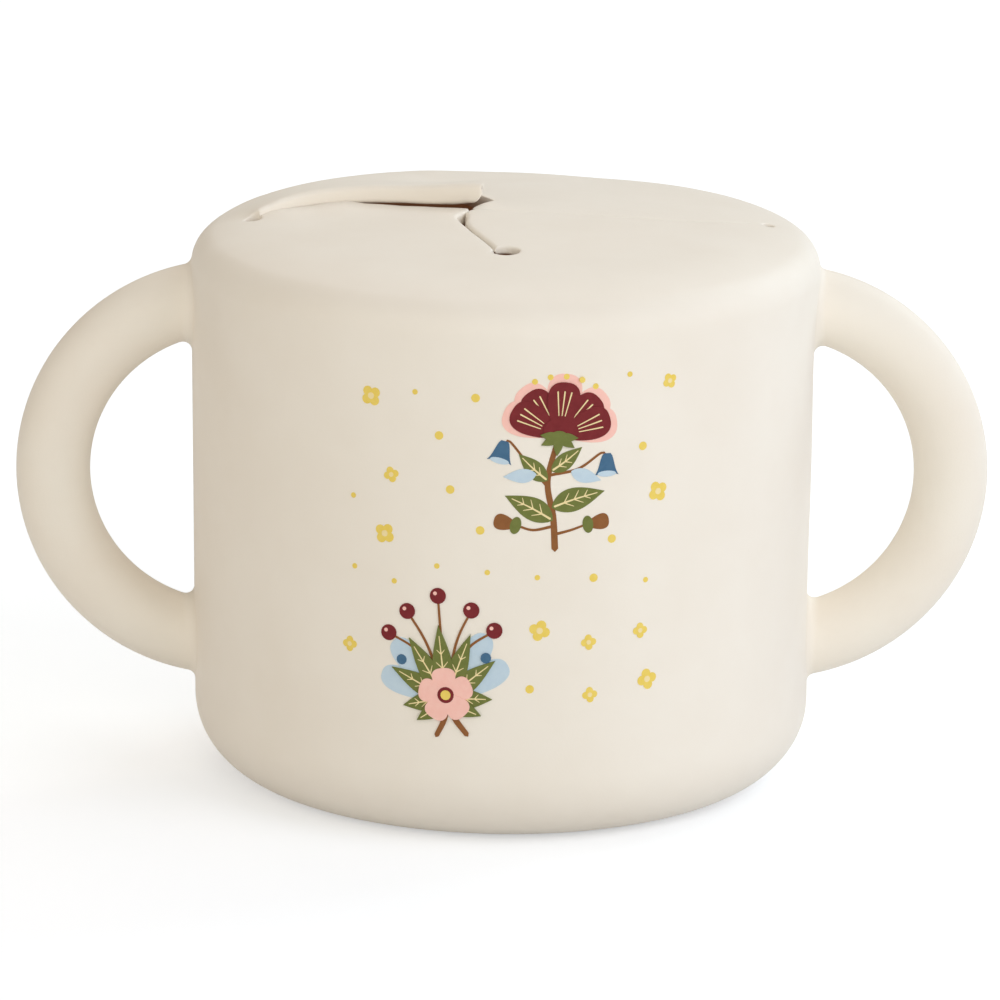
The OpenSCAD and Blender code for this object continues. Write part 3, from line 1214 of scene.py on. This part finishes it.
# Middle and tilt of the two large figures, and the half size of the room that each one takes.
SPRIG, SPRIG_ROOM = (7.0, 57.4, -6), (10.5, 15.0)
FAN, FAN_ROOM = (-8.2, 27.6, 7), (12.0, 13.0)


def make_print(inks):
    """Every shape of the design, each a little prouder than those that it overlaps."""
    d = Design()
    d.place = SPRIG
    bloom_sprig(d)
    d.place = FAN
    leaf_fan(d)
    d.place = (0, 0, 0)
    scatter(d, [(np.array(figure[:2]), np.array(room))
                for figure, room in ((SPRIG, SPRIG_ROOM), (FAN, FAN_ROOM))])
    boxes, parts = [], {}
    for ink_name, outline in d.shapes:
        low, high = outline.min(0), outline.max(0)
        under = [h for a, b, h in boxes if (a < high).all() and (low < b).all()]
        lift = max(under) + INK_STEP if under else INK_FIRST
        boxes.append((low, high, lift))
        shape, tris = printed_shape(outline, lift)
        points, faces = parts.setdefault(ink_name, ([], []))
        faces += [tuple(len(points) + i for i in f) for f in tris]
        points += [tuple(p) for p in shape]
    for ink_name, (points, faces) in parts.items():
        obj = make_object("print_" + ink_name, points, faces, [inks[ink_name]])
        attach(obj, "cup")


INKS = {"burgundy": ((112, 31, 36), (122, 38, 42)), "olive": ((104, 112, 54), (114, 121, 62)),
        "brown": ((133, 84, 44), (142, 92, 51)), "blue": ((62, 100, 132), (73, 110, 140)),
        "pale_blue": ((186, 206, 221), (194, 212, 224)), "pink": ((244, 190, 178), (246, 198, 186)),
        "yellow": ((231, 202, 92), (235, 209, 108)), "straw": ((236, 216, 160), (238, 220, 170))}


# Stage and light

# The floor the camera sees: a little light of its own, and a tone that keeps its shadow neutral.
FLOOR_LIFT = 0.45
FLOOR_TONE = (0.68, 0.70, 0.73)
# The tone that lights the part from below.
FLOOR_BOUNCE = (0.8, 0.8, 0.8)
FLOOR_HALF = 4.0
FLOOR_DROP = 0.00004


def seen_by(tree, *rays):
    """1 for light paths that are any of these kinds of ray."""
    paths = tree.nodes.new("ShaderNodeLightPath").outputs
    seen = paths[rays[0]]
    for ray in rays[1:]:
        seen = add_node(tree, "Math", {0: seen, 1: paths[ray]}, operation="MAXIMUM")
    return seen


def make_stage():
    mesh = bpy.data.meshes.new("floor")
    mesh.from_pydata([(x * FLOOR_HALF, y * FLOOR_HALF, -FLOOR_DROP)
                      for x, y in ((-1, -1), (1, -1), (1, 1), (-1, 1))], [], [(0, 1, 2, 3)])
    floor = add_object("floor", mesh)
    mat, tree = new_material("floor_white")
    tree.nodes.remove(tree.nodes["Principled BSDF"])
    seen = seen_by(tree, "Is Camera Ray", "Is Glossy Ray", "Is Transmission Ray")
    matte = add_node(tree, "BsdfDiffuse", {"Color": (*FLOOR_BOUNCE, 1)})
    shown = add_node(tree, "BsdfDiffuse", {"Color": (*FLOOR_TONE, 1)})
    lift = add_node(tree, "Emission", {"Strength": FLOOR_LIFT})
    both = add_node(tree, "AddShader", {0: shown, 1: lift})
    pick = add_node(tree, "MixShader", {0: seen, 1: matte, 2: both})
    set_inputs(tree, tree.nodes["Material Output"], {"Surface": pick})
    mesh.materials.append(mat)


WORLD_COLOUR = (1.0, 0.997, 0.902)
WORLD_STRENGTH = 0.28


def make_world():
    """A plain fill light, which the camera sees as white."""
    world = bpy.data.worlds.new("studio")
    bpy.context.scene.world = world
    world.use_nodes = True
    tree = world.node_tree
    fill = tree.nodes["Background"]
    set_inputs(tree, fill, {"Color": (*WORLD_COLOUR, 1), "Strength": WORLD_STRENGTH})
    white = add_node(tree, "Background", {"Color": (1, 1, 1, 1), "Strength": 1})
    seen = seen_by(tree, "Is Camera Ray", "Is Transmission Ray")
    pick = add_node(tree, "MixShader", {0: seen, 1: fill.outputs[0], 2: white})
    set_inputs(tree, tree.nodes["World Output"], {"Surface": pick})


LAMP_AIM = (0, 0, 0.045)


def make_lamp(name, place, size, power, colour):
    data = bpy.data.lights.new(name, "AREA")
    data.shape = "RECTANGLE"
    data.size, data.size_y = size
    data.energy = power
    data.color = colour
    lamp = add_object(name, data)
    lamp.location = place
    aim = Vector(LAMP_AIM) - Vector(place)
    lamp.rotation_mode = "QUATERNION"
    lamp.rotation_quaternion = aim.to_track_quat("-Z", "Y")
    lamp.visible_camera = False


# Name, place, size, power and colour of each soft lamp, in metres and watts.
LAMPS = (
    ("right_front", (0.95, -0.75, 0.75), (0.9, 0.9), 7.1, (0.877, 0.91, 1.0)),
    ("right", (1.25, 0.0, 0.45), (0.8, 0.8), 2.2, (0.805, 0.825, 1.0)),
    ("front", (0.0, -1.35, 0.5), (0.8, 0.8), 5.9, (1.0, 0.98, 0.915)),
    ("left", (-1.2, -0.2, 0.45), (0.8, 0.8), 2.6, (1.0, 0.83, 0.685)),
    ("left_front", (-0.85, -1.0, 0.6), (0.8, 0.8), 0.55, (1.0, 0.935, 0.805)),
    ("top", (0.0, 0.1, 1.35), (1.0, 1.0), 1.45, (1.0, 0.92, 1.0)),
    ("back_top", (0.0, 0.9, 1.0), (1.0, 0.8), 3.7, (1.0, 0.87, 0.746)),
    ("back_right", (0.9, 0.8, 0.7), (0.8, 0.8), 6.6, (0.79, 0.935, 1.0)),
)


# Build

make_camera()
make_stage()
make_world()
for lamp in LAMPS:
    make_lamp(*lamp)

cream = silicone("cream_silicone", (238, 231, 220), (235, 227, 215))
# Painted shade: a darker, warmer copy of the cream silicone for the inside and the undersides,
# which also gives off a faint painted glow.
shaded_inside_cream = silicone("inner_silicone_painted_shade", (228, 203, 180), (224, 197, 172), (0.6, 0.7), painted_glow=0.021)
cream_grip = silicone("grip_silicone", (238, 231, 219), (235, 226, 213))

make_cup()
flat = lambda p: np.zeros(len(p))
make_flap("front_left", front_swell)
make_flap("front_right", flat)
make_flap("back_right", flat)
make_flap("back_left", back_swell)
make_handle("handle_left", -1)
make_handle("handle_right", 1)
make_print({name: ink("ink_" + name, *tones) for name, tones in INKS.items()})

bpy.context.scene.view_settings.view_transform = "Standard"
